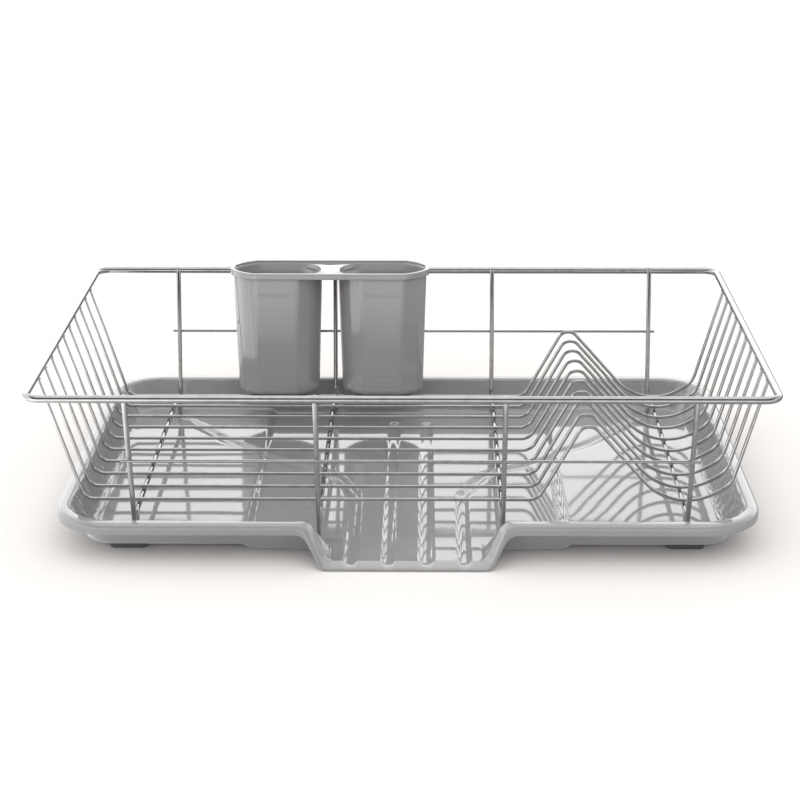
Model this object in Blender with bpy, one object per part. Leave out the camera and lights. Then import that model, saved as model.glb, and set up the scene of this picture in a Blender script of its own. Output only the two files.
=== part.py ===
"""Dish drying rack: a wire basket that stands in a drip tray, with a double utensil holder hung on it.

Lengths are in metres and +Z is up. The origin lies on the table, under the middle of the whole
object. +X runs along the rack's length and -Y is the front, where the tray's spout is.
"""
import bmesh
import bpy
from math import ceil, cos, pi, radians, sin, sqrt, tan
from mathutils import Matrix, Vector

MM = 0.001
GAP = 0.3 * MM                      # clearance between pieces that touch on the real rack

# ---------------------------------------------------------------- basket
RACK_Y = 3.7 * MM                   # middle of the basket
RIM_LENGTH = 480 * MM               # centre to centre of the rim's wire
RIM_WIDTH = 300 * MM
RIM_Z = 113.9 * MM
RIM_WIRE = 2.5 * MM                 # radii of the wires
RIM_CORNER = 10 * MM
PLATE_WIRE = 1.2 * MM
CROSS_WIRE = 1.7 * MM
RAIL_WIRE = 1.0 * MM

PLATE_WIRES = 10                    # long wires that carry the dishes
PLATE_PITCH = 23 * MM
PLATE_Z = 26.5 * MM                 # their flat stretch
WALL_FOOT_X = 213.2 * MM            # where an end wall's line meets the flat stretch
HUMP_START_X = 90.4 * MM            # the hump that separates the plates, seen from the front
HUMP_PEAK = (121.9 * MM, 57.9 * MM)             # x, and height above the flat stretch
VALLEY_START_X = 173.2 * MM
VALLEY_END_X = 199.8 * MM
VALLEY_RISE = (219.3 * MM, 10.8 * MM)

CROSS_WIRES = 4
CROSS_PITCH = 121.6 * MM
CROSS_MIDDLE_X = 5.6 * MM
CROSS_FOOT_Z = 7.0 * MM             # underside of the feet
CROSS_FOOT_OUTER = 124.5 * MM       # the foot's two legs, from the middle of the basket
CROSS_FOOT_INNER = 116 * MM
CROSS_TIP_RISE = 1.2 * MM           # how far a cross wire's end stands above the rim's centre line
RAIL_Z = 67.8 * MM
RAIL_OVERHANG = 3.5 * MM            # side rail beyond the outermost cross wires

WALL_BEND = 8 * MM                  # bend radii of the plate wires
HUMP_START_BEND = 10 * MM
HUMP_PEAK_BEND = 8 * MM
VALLEY_BEND = 36 * MM
VALLEY_RISE_BEND = 18 * MM
CROSS_RUN_BEND = 4 * MM
FOOT_BEND = (CROSS_FOOT_OUTER - CROSS_FOOT_INNER) / 2 - 0.05 * MM
ARC_STEP = radians(18)              # one segment of a wire's bend

# ---------------------------------------------------------------- drip tray
TRAY_X = 2.9 * MM                   # middle of the tray
TRAY_Y = RACK_Y + 1.75 * MM
TRAY_LENGTH = 468 * MM
TRAY_WIDTH = 302 * MM
TRAY_CORNER = 40 * MM
WALL = 2.2 * MM
SIDE_FLOOR = 6.7 * MM               # top of the floor in the two side sections
CENTRE_FLOOR = 3.3 * MM             # and in the sunken middle section
CENTRE_HALF = 103 * MM
CENTRE_SLOPE = 7 * MM
LIP_FRONT_Y = RACK_Y - 162 * MM
CORNER_STEPS = 6                    # mesh steps of a corner, and of a bend in the spout's edge
SPOUT_STEPS = 3
SPOUT_BEND = 6 * MM
STEP_LINES = (                      # side and distance from the middle of the floor's step lines
    (-1, CENTRE_HALF + CENTRE_SLOPE),
    (-1, CENTRE_HALF),
    (1, CENTRE_HALF),
    (1, CENTRE_HALF + CENTRE_SLOPE),
)

# The tray's section in millimetres, from the floor's edge over the rim and back under the floor:
# inset from the outline, height (ON_FLOOR and UNDER_FLOOR follow the stepped floor), half the
# spout's width where the line leaves the front edge, and at the spout's lip the half width, the
# distance behind the lip's front and the height.
ON_FLOOR = "on floor"
UNDER_FLOOR = "under floor"
TRAY_SECTION = (
    (22.4, ON_FLOOR, 50.4, 49.8, 12.2, 3.3),
    (20.6, 8.8, 52.2, 50.0, 11.4, 3.3),
    (10.2, 25.8, 62.4, 50.2, 10.6, 3.3),
    (8.6, 27.0, 63.8, 50.6, 9.4, 3.2),
    (2.6, 27.0, 65.8, 52.6, 3.6, 2.6),
    (0.7, 26.3, 66.8, 54.0, 1.4, 2.0),
    (0.0, 24.4, 67.2, 54.8, 0.4, 1.3),
    (0.0, 19.5, 67.6, 55.3, 0.0, 0.6),
    (2.2, 19.5, 65.4, 53.2, 2.2, 0.6),
    (2.4, 24.8, 65.0, 52.9, 3.4, 0.7),
    (7.6, 24.8, 64.4, 52.7, 9.2, 1.0),
    (20.2, UNDER_FLOOR, 52.8, 52.4, 12.8, 1.1),
)
GROOVE_PITCH = 25 * MM
GROOVE_X = TRAY_X + 0.6 * MM
GROOVE_RADIUS = 8.5 * MM
GROOVE_DEPTH = 1.3 * MM
GROOVE_START_Y = LIP_FRONT_Y - 5 * MM           # a groove runs out past the lip
GROOVE_BACK_Y = RACK_Y + 104 * MM
GROOVE_SWEEP = (                    # the outer grooves turn outwards: x from the groove, y
    (0 * MM, -51 * MM), (3 * MM, -33 * MM), (9 * MM, -17 * MM), (20 * MM, 1 * MM),
    (43 * MM, 16 * MM), (66 * MM, 32 * MM), (76 * MM, 39 * MM), (94 * MM, 53 * MM),
    (112 * MM, 74 * MM), (136 * MM, 106 * MM),
)

FOOT_TOP = (27 * MM, 18 * MM)        # size of a rubber pad under the tray, and at its sole
FOOT_SOLE = (25.4 * MM, 16.4 * MM)
FOOT_CORNER = 4 * MM
FOOT_HEIGHT = SIDE_FLOOR - WALL - GAP
FOOT_SPACING = (370 * MM, 237 * MM)

# ---------------------------------------------------------------- utensil holder
HOLDER_X = -57.9 * MM
HOLDER_TILT = radians(5.0)
HOLDER_WIDTH = 151 * MM             # over the band at the top
HOLDER_DEPTH = 47.5 * MM
HOLDER_FRONT = (RACK_Y + 100 * MM, 124.8 * MM)  # y and z of the top front edge
HOLDER_CORNER = 18 * MM
BAND_HEIGHT = 4.5 * MM
CUP_TOP = (67.2 * MM, 42.3 * MM)    # outside size of a cup under the band
CUP_BOTTOM = (61.6 * MM, 37.5 * MM)
CUP_SHIFT = -0.75 * MM              # the cups sit a little forward under the plate
CUP_HEIGHT = 94.5 * MM
CUP_GAP = 12.6 * MM
CUP_WALL = 1.8 * MM
CUP_CORNER = 17 * MM
CUP_FLOOR_BEVEL = 4 * MM
CUP_SINK = 1 * MM                   # how far a cup's body starts under the plate's top
CORNER_CUTS = 5                     # mesh steps of an upright corner, and of a cup's bottom edge
BOTTOM_CUTS = 2
HOOK_LENGTH = 116 * MM
HOOK_TOP = 9.2 * MM                 # above and below the rim wire's centre line
HOOK_DROP = -3.5 * MM
HOOK_CORNER = 3 * MM


# ---------------------------------------------------------------- helpers
def clear_scene():
    for thing in list(bpy.data.objects):
        bpy.data.objects.remove(thing, do_unlink=True)


def make_collection(name):
    collection = bpy.data.collections.new(name)
    bpy.context.scene.collection.children.link(collection)
    return collection


def material(name, colour, roughness, metallic=0.0):
    made = bpy.data.materials.new(name)
    made.use_nodes = True
    shader = made.node_tree.nodes["Principled BSDF"]
    shader.inputs["Base Color"].default_value = (*colour, 1.0)
    shader.inputs["Roughness"].default_value = roughness
    shader.inputs["Metallic"].default_value = metallic
    return made


def bend(before, corner, after, radius, steps):
    """Points of the arc that rounds a route's corner, in space."""
    back = (before - corner).normalized()
    ahead = (after - corner).normalized()
    angle = back.angle(ahead)
    if radius <= 0 or angle > pi - 0.01:
        return [corner.copy()]
    reach = radius / tan(angle / 2)
    middle = (back + ahead).normalized()
    centre = corner + middle * (radius / sin(angle / 2))
    start = corner + back * reach - centre
    end = corner + ahead * reach - centre
    sweep = pi - angle
    count = steps or max(2, ceil(sweep / ARC_STEP))
    points = []
    for i in range(count + 1):
        share = i / count
        near = sin((1 - share) * sweep) / sin(sweep)
        far = sin(share * sweep) / sin(sweep)
        points.append(centre + start * near + end * far)
    return points


def route(corners, steps=None, closed=False):
    """Points of a bent wire. Each corner is (x, y, z, bend radius)."""
    places = [Vector(corner[:3]) for corner in corners]
    points = []
    for i, corner in enumerate(corners):
        inner = closed or 0 < i < len(corners) - 1
        if inner:
            before = places[i - 1]
            after = places[(i + 1) % len(places)]
            points += bend(before, places[i], after, corner[3], steps)
        else:
            points.append(places[i])
    return points


def wire(name, points, radius, look, collection, closed=False, origin=None):
    """A round wire along the points, with flat ends; its origin is the first point or the one given."""
    origin = Vector(origin or points[0])
    data = bpy.data.curves.new(name, "CURVE")
    data.dimensions = "3D"
    data.bevel_depth = radius
    data.bevel_resolution = 2
    data.use_fill_caps = not closed
    line = data.splines.new("POLY")
    line.points.add(len(points) - 1)
    for spot, point in zip(line.points, points):
        spot.co = (*(point - origin), 1.0)
    line.use_cyclic_u = closed
    line.use_smooth = True
    data.materials.append(look)
    made = bpy.data.objects.new(name, data)
    made.location = origin
    collection.objects.link(made)
    return made


def mesh_object(name, mesh, look, collection, origin=(0, 0, 0)):
    """Links a bmesh given in world coordinates as an object with its own origin."""
    origin = Vector(origin)
    bmesh.ops.translate(mesh, vec=-origin, verts=mesh.verts)
    data = bpy.data.meshes.new(name)
    mesh.to_mesh(data)
    mesh.free()
    if look:
        data.materials.append(look)
    made = bpy.data.objects.new(name, data)
    made.location = origin
    collection.objects.link(made)
    return made


def tapered_block(bottom, top, height, corner, floor_bevel, top_z):
    """A block with rounded upright corners that widens upwards; its top is at top_z, centred on z."""
    mesh = bmesh.new()
    bmesh.ops.create_cube(mesh, size=1)
    for vert in mesh.verts:
        size = top if vert.co.z > 0 else bottom
        vert.co.x *= size[0]
        vert.co.y *= size[1]
        vert.co.z = top_z if vert.co.z > 0 else top_z - height
    upright = [edge for edge in mesh.edges if abs(edge.verts[0].co.z - edge.verts[1].co.z) > height / 2]
    bmesh.ops.bevel(mesh, geom=upright, offset=corner, offset_type="OFFSET", segments=CORNER_CUTS,
                    profile=0.5, affect="EDGES", clamp_overlap=True)
    if floor_bevel:
        low = [edge for edge in mesh.edges
               if max(edge.verts[0].co.z, edge.verts[1].co.z) < top_z - height + 0.1 * MM]
        bmesh.ops.bevel(mesh, geom=low, offset=floor_bevel, offset_type="OFFSET",
                        segments=BOTTOM_CUTS, profile=0.5, affect="EDGES", clamp_overlap=True)
    bmesh.ops.recalc_face_normals(mesh, faces=mesh.faces)
    return mesh


def shade(made, degrees=35):
    made.data.shade_smooth()
    made.data.set_sharp_from_angle(angle=radians(degrees))


def curve_to_mesh(made):
    """Turns a curve object into a mesh object with welded caps and returns it."""
    graph = bpy.context.evaluated_depsgraph_get()
    data = bpy.data.meshes.new_from_object(made.evaluated_get(graph))
    name, place = made.name, made.matrix_world.copy()
    collection = made.users_collection[0]
    bpy.data.objects.remove(made, do_unlink=True)
    welded = bmesh.new()
    welded.from_mesh(data)
    bmesh.ops.remove_doubles(welded, verts=welded.verts, dist=0.00001)
    welded.to_mesh(data)
    welded.free()
    mesh = bpy.data.objects.new(name, data)
    mesh.matrix_world = place
    collection.objects.link(mesh)
    return mesh


def as_cutter(made):
    made.hide_render = True
    made.display_type = "WIRE"
    return made


def combine(target, tool, operation):
    """Adds a Boolean modifier to the target; the tool stays as a hidden guide."""
    modifier = target.modifiers.new(operation.title(), "BOOLEAN")
    modifier.operation = operation
    modifier.object = as_cutter(tool)


# ---------------------------------------------------------------- basket
def make_rim(look, collection):
    half_x, half_y = RIM_LENGTH / 2, RIM_WIDTH / 2
    corners = [
        (sx * half_x, RACK_Y + sy * half_y, RIM_Z, RIM_CORNER)
        for sx, sy in ((-1, -1), (1, -1), (1, 1), (-1, 1))
    ]
    centre = (0, RACK_Y, RIM_Z)
    wire("rim_wire", route(corners, closed=True), RIM_WIRE, look, collection, True, centre)


def plate_wire_corners(y):
    """The long wire seen from the front: end wall, flat stretch, hump, valley, end wall."""
    rim_centre = Vector((RIM_LENGTH / 2, y, RIM_Z))
    left_foot = Vector((-WALL_FOOT_X, y, PLATE_Z))
    rise = Vector((VALLEY_RISE[0], y, PLATE_Z + VALLEY_RISE[1]))
    reach = RIM_WIRE + GAP
    left_rim = Vector((-rim_centre.x, y, RIM_Z))
    left_tip = left_rim + (left_foot - left_rim).normalized() * reach
    right_tip = rim_centre + (rise - rim_centre).normalized() * reach
    return [
        (*left_tip, 0),
        (*left_foot, WALL_BEND),
        (HUMP_START_X, y, PLATE_Z, HUMP_START_BEND),
        (HUMP_PEAK[0], y, PLATE_Z + HUMP_PEAK[1], HUMP_PEAK_BEND),
        (VALLEY_START_X, y, PLATE_Z, VALLEY_BEND),
        (VALLEY_END_X, y, PLATE_Z, VALLEY_BEND),
        (*rise, VALLEY_RISE_BEND),
        (*right_tip, 0),
    ]


def make_plate_wires(look, collection):
    first = RACK_Y - PLATE_PITCH * (PLATE_WIRES - 1) / 2
    for i in range(PLATE_WIRES):
        points = route(plate_wire_corners(first + i * PLATE_PITCH))
        wire(f"plate_wire_{i + 1:02d}", points, PLATE_WIRE, look, collection)


def cross_wire_half():
    """Half a cross wire as (distance from the middle, height, bend radius), from its tip inwards."""
    tip = RIM_WIDTH / 2 - RIM_WIRE - CROSS_WIRE - GAP
    foot_z = CROSS_FOOT_Z + CROSS_WIRE
    run_z = PLATE_Z - PLATE_WIRE - CROSS_WIRE - GAP
    return [
        (tip, RIM_Z + CROSS_TIP_RISE, 0),
        (CROSS_FOOT_OUTER, foot_z, FOOT_BEND),
        (CROSS_FOOT_INNER, foot_z, FOOT_BEND),
        (CROSS_FOOT_INNER, run_z, CROSS_RUN_BEND),
    ]


def make_cross_wires(look, collection):
    half = cross_wire_half()
    for i in range(CROSS_WIRES):
        x = CROSS_MIDDLE_X + (i - (CROSS_WIRES - 1) / 2) * CROSS_PITCH
        front = [(x, RACK_Y - out, z, radius) for out, z, radius in half]
        back = [(x, RACK_Y + out, z, radius) for out, z, radius in reversed(half)]
        points = route(front + back)
        wire(f"cross_wire_{i + 1}", points, CROSS_WIRE, look, collection)


def make_side_rails(look, collection):
    tip, top_z, _ = cross_wire_half()[0]
    foot_out, foot_z, _ = cross_wire_half()[1]
    slope = (tip - foot_out) / (top_z - foot_z)
    wire_out = tip - slope * (top_z - RAIL_Z)
    out = wire_out + (CROSS_WIRE + RAIL_WIRE + GAP) * sqrt(1 + slope * slope)
    reach = (CROSS_WIRES - 1) / 2 * CROSS_PITCH + CROSS_WIRE + RAIL_OVERHANG
    for name, side in (("front_side_rail", -1), ("rear_side_rail", 1)):
        y = RACK_Y + side * out
        ends = [Vector((CROSS_MIDDLE_X + end * reach, y, RAIL_Z)) for end in (-1, 1)]
        wire(name, ends, RAIL_WIRE, look, collection)


# ---------------------------------------------------------------- drip tray
def floor_height(x):
    """Top of the tray's floor: a sunken middle section with sloped sides."""
    beyond = (abs(x - TRAY_X) - CENTRE_HALF) / CENTRE_SLOPE
    return CENTRE_FLOOR + (SIDE_FLOOR - CENTRE_FLOOR) * min(1.0, max(0.0, beyond))


def tray_ring(row):
    """One closed line round the tray, from a row of its section."""
    inset, spout_top, lip_half, lip_out, lip_z = (row[i] * MM for i in (0, 2, 3, 4, 5))
    lip_y = LIP_FRONT_Y + lip_out

    def place(x, y):
        if row[1] == ON_FLOOR:
            return Vector((x, y, floor_height(x)))
        if row[1] == UNDER_FLOOR:
            return Vector((x, y, floor_height(x) - WALL))
        return Vector((x, y, row[1] * MM))

    half_x = TRAY_LENGTH / 2 - inset
    half_y = TRAY_WIDTH / 2 - inset
    radius = TRAY_CORNER - inset
    left, right = TRAY_X - half_x, TRAY_X + half_x
    front, back = TRAY_Y - half_y, TRAY_Y + half_y

    def corner(sx, sy):
        centre_x = TRAY_X + sx * (half_x - radius)
        centre_y = TRAY_Y + sy * (half_y - radius)
        start = {(-1, -1): pi, (1, -1): 1.5 * pi, (1, 1): 0, (-1, 1): 0.5 * pi}[(sx, sy)]
        arc = []
        for i in range(CORNER_STEPS + 1):
            angle = start + i / CORNER_STEPS * pi / 2
            arc.append(place(centre_x + radius * cos(angle), centre_y + radius * sin(angle)))
        return arc

    def spout_side(side):
        top = place(TRAY_X + side * spout_top, front)
        lip = Vector((TRAY_X + side * lip_half, lip_y, lip_z))
        along = place(TRAY_X + side * CENTRE_HALF, front)
        across = Vector((TRAY_X, lip_y, lip_z))
        upper = bend(along, top, lip, SPOUT_BEND, SPOUT_STEPS)
        lower = bend(top, lip, across, SPOUT_BEND, SPOUT_STEPS)
        points = upper + lower
        return points if side < 0 else points[::-1]

    steps = [TRAY_X + side * out for side, out in STEP_LINES]
    ring = corner(-1, -1)
    ring += [place(x, front) for x in steps[:2]]
    ring += spout_side(-1) + spout_side(1)
    ring += [place(x, front) for x in steps[2:]]
    ring += corner(1, -1) + corner(1, 1)
    ring += [place(x, back) for x in reversed(steps)]
    ring += corner(-1, 1)
    return ring


def floor_faces(mesh, ring, upward):
    """Covers the area inside a floor line: two side sections, two slopes and the middle."""
    corner = CORNER_STEPS + 1
    spout = 4 * (SPOUT_STEPS + 1)
    front = corner                                  # first of the front edge's step lines
    front_right = front + 2 + spout
    back = front_right + 2 + 2 * corner             # the back edge runs from right to left
    left_part = ring[:front + 1] + ring[back + 3:]
    left_slope = [ring[front], ring[front + 1], ring[back + 2], ring[back + 3]]
    middle = ring[front + 1:front_right + 1] + [ring[back + 1], ring[back + 2]]
    right_slope = [ring[front_right], ring[front_right + 1], ring[back], ring[back + 1]]
    right_part = ring[front_right + 1:back + 1]
    for part in (left_part, left_slope, middle, right_slope, right_part):
        mesh.faces.new(part if upward else part[::-1])


def make_tray(look, collection, cutters):
    """The one-piece moulding: rim, skirt, walls, stepped floor and the spout at the front."""
    mesh = bmesh.new()
    rings = [[mesh.verts.new(point) for point in tray_ring(row)] for row in TRAY_SECTION]
    for inner, outer in zip(rings, rings[1:]):
        for i in range(len(inner)):
            j = (i + 1) % len(inner)
            mesh.faces.new((inner[i], outer[i], outer[j], inner[j]))
    floor_faces(mesh, rings[0], upward=True)
    floor_faces(mesh, rings[-1], upward=False)
    tray = mesh_object("drip_tray", mesh, look, collection, (TRAY_X, TRAY_Y, 0))
    for i, points in enumerate(groove_routes()):
        cutter = wire(f"groove_cutter_{i + 1}", points, GROOVE_RADIUS, look, cutters)
        combine(tray, curve_to_mesh(cutter), "DIFFERENCE")
    shade(tray)


def groove_routes():
    """Centre lines of the four drain grooves' cutters, just above the floor."""
    lift = GROOVE_RADIUS - GROOVE_DEPTH
    routes = []
    for slot in (-0.5, 0.5):
        x = GROOVE_X + slot * GROOVE_PITCH
        ends = (GROOVE_START_Y, GROOVE_BACK_Y)
        routes.append([Vector((x, y, CENTRE_FLOOR + lift)) for y in ends])
    for side in (-1, 1):
        x = GROOVE_X + side * 1.5 * GROOVE_PITCH
        routes.append([Vector((x, GROOVE_START_Y, CENTRE_FLOOR + lift))])
        for out, y in GROOVE_SWEEP:
            place_x = x + side * out
            routes[-1].append(Vector((place_x, RACK_Y + y, floor_height(place_x) + lift)))
    return routes


def make_feet(look, collection):
    """Four rubber pads under the side sections."""
    for name, sx, sy in (("rubber_foot_front_left", -1, -1), ("rubber_foot_front_right", 1, -1),
                         ("rubber_foot_rear_left", -1, 1), ("rubber_foot_rear_right", 1, 1)):
        mesh = tapered_block(FOOT_SOLE, FOOT_TOP, FOOT_HEIGHT, FOOT_CORNER, 0, FOOT_HEIGHT)
        place = (TRAY_X + sx * FOOT_SPACING[0] / 2, TRAY_Y + sy * FOOT_SPACING[1] / 2, 0)
        foot = mesh_object(name, mesh, look, collection)
        foot.location = place
        shade(foot)


# ---------------------------------------------------------------- utensil holder
def hook_outline():
    """The hook's section as (y, z) from the rim wire's centre: over the wire and down behind it."""
    inner = RIM_WIRE + GAP
    outer = inner + CUP_WALL
    turns = [i * pi / 8 for i in range(5)]
    inside = [(inner * cos(turn), inner * sin(turn)) for turn in turns]
    rear = [(outer - HOOK_CORNER * (1 - cos(turn)), HOOK_TOP - HOOK_CORNER * (1 - sin(turn)))
            for turn in turns]
    front = [(-y, z) for y, z in reversed(rear)]
    return [(outer, HOOK_DROP)] + rear + front + [(-outer, inner)] + inside[::-1] + [(inner, HOOK_DROP)]


def make_hook(collection):
    """A channel that drops over the rear rim wire, extruded along the wire."""
    mesh = bmesh.new()
    ends = []
    rim_y = RACK_Y + RIM_WIDTH / 2
    for side in (-1, 1):
        x = HOLDER_X + side * HOOK_LENGTH / 2
        ends.append([mesh.verts.new((x, rim_y + y, RIM_Z + z)) for y, z in hook_outline()])
    left, right = ends
    for i in range(len(left)):
        j = (i + 1) % len(left)
        mesh.faces.new((left[i], left[j], right[j], right[i]))
    mesh.faces.new(left[::-1])
    mesh.faces.new(right)
    bmesh.ops.recalc_face_normals(mesh, faces=mesh.faces)
    return mesh_object("hook_part", mesh, None, collection)


def make_holder(look, collection, cutters):
    """Two cups under one rim plate with a turned-down band, and the hook behind."""
    tilt = Matrix.Rotation(-HOLDER_TILT, 4, "X")
    front_y, front_z = HOLDER_FRONT
    place = Matrix.Translation((HOLDER_X, front_y, front_z)) @ tilt

    def block(name, bottom, top, height, corner, bevel, top_z, x, shift, look=None, home=cutters):
        mesh = tapered_block(bottom, top, height, corner, bevel, top_z)
        data = bpy.data.meshes.new(name)
        mesh.to_mesh(data)
        mesh.free()
        if look:
            data.materials.append(look)
        made = bpy.data.objects.new(name, data)
        made.matrix_world = place @ Matrix.Translation((x, HOLDER_DEPTH / 2 + shift, 0))
        home.objects.link(made)
        return made

    plate = (HOLDER_WIDTH, HOLDER_DEPTH)
    holder = block("utensil_holder", plate, plate, BAND_HEIGHT, HOLDER_CORNER, 0, 0, 0, 0,
                   look, collection)
    inside = (CUP_WALL * 2, CUP_WALL * 2)
    spacing = (CUP_TOP[0] + CUP_GAP) / 2
    for side, word in ((-1, "left"), (1, "right")):
        cup = block(f"{word}_cup_body", CUP_BOTTOM, CUP_TOP, CUP_HEIGHT, CUP_CORNER,
                    CUP_FLOOR_BEVEL, -CUP_SINK, side * spacing, CUP_SHIFT)
        combine(holder, cup, "UNION")
    combine(holder, make_hook(cutters), "UNION")
    for side, word in ((-1, "left"), (1, "right")):
        top = tuple(size - twice for size, twice in zip(CUP_TOP, inside))
        bottom = tuple(size - twice for size, twice in zip(CUP_BOTTOM, inside))
        hollow = block(f"{word}_cup_hollow", bottom, top, CUP_HEIGHT, CUP_CORNER - CUP_WALL,
                       CUP_FLOOR_BEVEL - CUP_WALL / 2, CUP_SINK, side * spacing, CUP_SHIFT)
        combine(holder, hollow, "DIFFERENCE")
    shade(holder)


# ---------------------------------------------------------------- assembly
def main():
    clear_scene()
    rack = make_collection("dish_drying_rack")
    cutters = make_collection("construction_shapes")
    steel = material("polished_steel", (0.72, 0.72, 0.73), 0.14, 1.0)
    tray_plastic = material("tray_plastic", (0.36, 0.36, 0.37), 0.16)
    holder_plastic = material("holder_plastic", (0.37, 0.36, 0.35), 0.18)
    rubber = material("foot_rubber", (0.06, 0.06, 0.06), 0.8)
    make_tray(tray_plastic, rack, cutters)
    make_feet(rubber, rack)
    make_rim(steel, rack)
    make_plate_wires(steel, rack)
    make_cross_wires(steel, rack)
    make_side_rails(steel, rack)
    make_holder(holder_plastic, rack, cutters)


main()
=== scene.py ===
"""Looks of the dish drying rack: a glossy drip tray, a polished wire basket and a double cup holder.

Lengths are in metres and +Z is up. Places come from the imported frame, and every piece stands for the
CAD node that it replaces.
"""
from math import ceil, cos, pi, radians, sin, tan

import bmesh
import bpy
import numpy as np
from mathutils import Matrix, Vector, noise


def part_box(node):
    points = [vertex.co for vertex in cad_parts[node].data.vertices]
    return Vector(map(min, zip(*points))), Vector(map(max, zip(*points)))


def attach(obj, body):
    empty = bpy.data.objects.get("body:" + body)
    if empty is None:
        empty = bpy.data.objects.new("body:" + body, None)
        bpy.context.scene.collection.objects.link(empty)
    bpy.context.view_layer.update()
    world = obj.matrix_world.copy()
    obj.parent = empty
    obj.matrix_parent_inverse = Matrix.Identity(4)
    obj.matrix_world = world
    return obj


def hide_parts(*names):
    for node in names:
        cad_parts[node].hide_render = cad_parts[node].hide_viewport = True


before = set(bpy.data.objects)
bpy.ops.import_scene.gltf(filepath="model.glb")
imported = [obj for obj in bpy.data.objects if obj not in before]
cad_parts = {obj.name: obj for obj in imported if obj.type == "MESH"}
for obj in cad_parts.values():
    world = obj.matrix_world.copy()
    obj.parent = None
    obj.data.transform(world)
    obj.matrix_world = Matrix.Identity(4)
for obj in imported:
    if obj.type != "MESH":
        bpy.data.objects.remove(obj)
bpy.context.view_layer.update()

MM = 0.001
GAP = 0.3 * MM                      # clearance between touching pieces in the CAD model
SHARP_EDGE = radians(50)            # edges over this angle stay sharp in the shading


def centre_of(node):
    low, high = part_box(node)
    return (low + high) / 2


# ---------------------------------------------------------------- sizes taken from the frame
RIM_CENTRE = centre_of("rim_wire")
RIM_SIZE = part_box("rim_wire")[1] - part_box("rim_wire")[0]
RAIL_NODES = ("front_side_rail", "rear_side_rail")
PLATE_NODES = [f"plate_wire_{i:02d}" for i in range(1, 11)]
CROSS_NODES = [f"cross_wire_{i}" for i in range(1, 5)]
FOOT_NODES = [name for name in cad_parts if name.startswith("rubber_foot")]
TRAY_LOW, TRAY_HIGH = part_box("drip_tray")
HOLDER_X = centre_of("utensil_holder").x
HOLDER_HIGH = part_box("utensil_holder")[1]

# ---------------------------------------------------------------- wires
RIM_WIRE = 2.5 * MM                 # radii of the wires
PLATE_WIRE = 1.2 * MM
CROSS_WIRE = 1.7 * MM
RAIL_WIRE = 1.0 * MM
RIM_CORNER = 10 * MM
WIRE_SIDES = 20
BEND_STEP = radians(5)              # one segment of a bend
TIP_ROUNDING = 0.35                 # rounding of a cut end, as a share of the wire's radius

RACK_Y = RIM_CENTRE.y
RIM_Z = RIM_CENTRE.z
RIM_HALF_X = RIM_SIZE.x / 2 - RIM_WIRE
RIM_HALF_Y = RIM_SIZE.y / 2 - RIM_WIRE
PLATE_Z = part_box(PLATE_NODES[0])[0].z + PLATE_WIRE
WALL_FOOT_X = 213.2 * MM
HUMP_START_X = 90.4 * MM
HUMP_PEAK = (121.9 * MM, 57.9 * MM)
VALLEY_START_X = 173.2 * MM
VALLEY_END_X = 199.8 * MM
VALLEY_RISE = (219.3 * MM, 10.8 * MM)
TIP_SINK = 0.5 * MM                 # how far a welded tip runs into the rim's wire
WALL_BEND = 8 * MM                  # bend radii of the plate wires
HUMP_START_BEND = 10 * MM
HUMP_PEAK_BEND = 8 * MM
VALLEY_BEND = 36 * MM
VALLEY_RISE_BEND = 18 * MM

CROSS_FOOT_OUTER = 124.5 * MM
CROSS_FOOT_INNER = 116 * MM
CROSS_TIP_RISE = 1.2 * MM
CROSS_FOOT_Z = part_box(CROSS_NODES[0])[0].z + CROSS_WIRE
CROSS_RUN_Z = PLATE_Z - PLATE_WIRE - CROSS_WIRE - GAP
CROSS_RUN_BEND = 4 * MM
FOOT_BEND = (CROSS_FOOT_OUTER - CROSS_FOOT_INNER) / 2 - 0.05 * MM

BEAD_ROWS = 7                       # mesh of a spot weld, and how uneven it is
BEAD_SIDES = 12
BEAD_SWELL = 0.16
CROSSING_BEAD = (1.5 * MM, 1.5 * MM, 0.75 * MM)     # half sizes of the spot welds
PLATE_TIP_BEAD = (1.55 * MM, 1.9 * MM, 1.1 * MM)
CROSS_TIP_BEAD = (1.9 * MM, 1.0 * MM, 2.0 * MM)
RAIL_BEAD = (1.5 * MM, 0.8 * MM, 1.2 * MM)

# ---------------------------------------------------------------- tray
TRAY_X = (TRAY_LOW.x + TRAY_HIGH.x) / 2
TRAY_Y = 5.45 * MM                  # middle of its rounded rectangle, without the spout
TRAY_HALF_X = (TRAY_HIGH.x - TRAY_LOW.x) / 2
TRAY_HALF_Y = TRAY_HIGH.y - TRAY_Y
TRAY_CORNER = 40 * MM
LIP_FRONT_Y = TRAY_LOW.y
SIDE_FLOOR = 6.7 * MM
CENTRE_FLOOR = 3.3 * MM
CENTRE_HALF = 103 * MM
CENTRE_SLOPE = 7 * MM
GROOVE_X = TRAY_X + 0.6 * MM
GROOVE_PITCH = 25 * MM
GROOVE_RADIUS = 8.5 * MM
GROOVE_DEPTH = 1.3 * MM
GROOVE_SOFTNESS = 0.06 * MM         # rounding of its edges
GROOVE_START_Y = LIP_FRONT_Y - 5 * MM           # a groove runs out past the lip
GROOVE_BACK_Y = RACK_Y + 104 * MM
GROOVE_SWEEP = (                    # the outer grooves turn outwards: x from the groove, y
    (0 * MM, -51 * MM), (3 * MM, -33 * MM), (9 * MM, -17 * MM), (20 * MM, 1 * MM),
    (43 * MM, 16 * MM), (66 * MM, 32 * MM), (76 * MM, 39 * MM), (94 * MM, 53 * MM),
    (112 * MM, 74 * MM), (136 * MM, 106 * MM),
)

PAD_CORNER = 4 * MM
PAD_TAPER = 0.8                     # millimetres by which the sole is smaller, on each side
PAD_CUTS = 6

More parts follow.
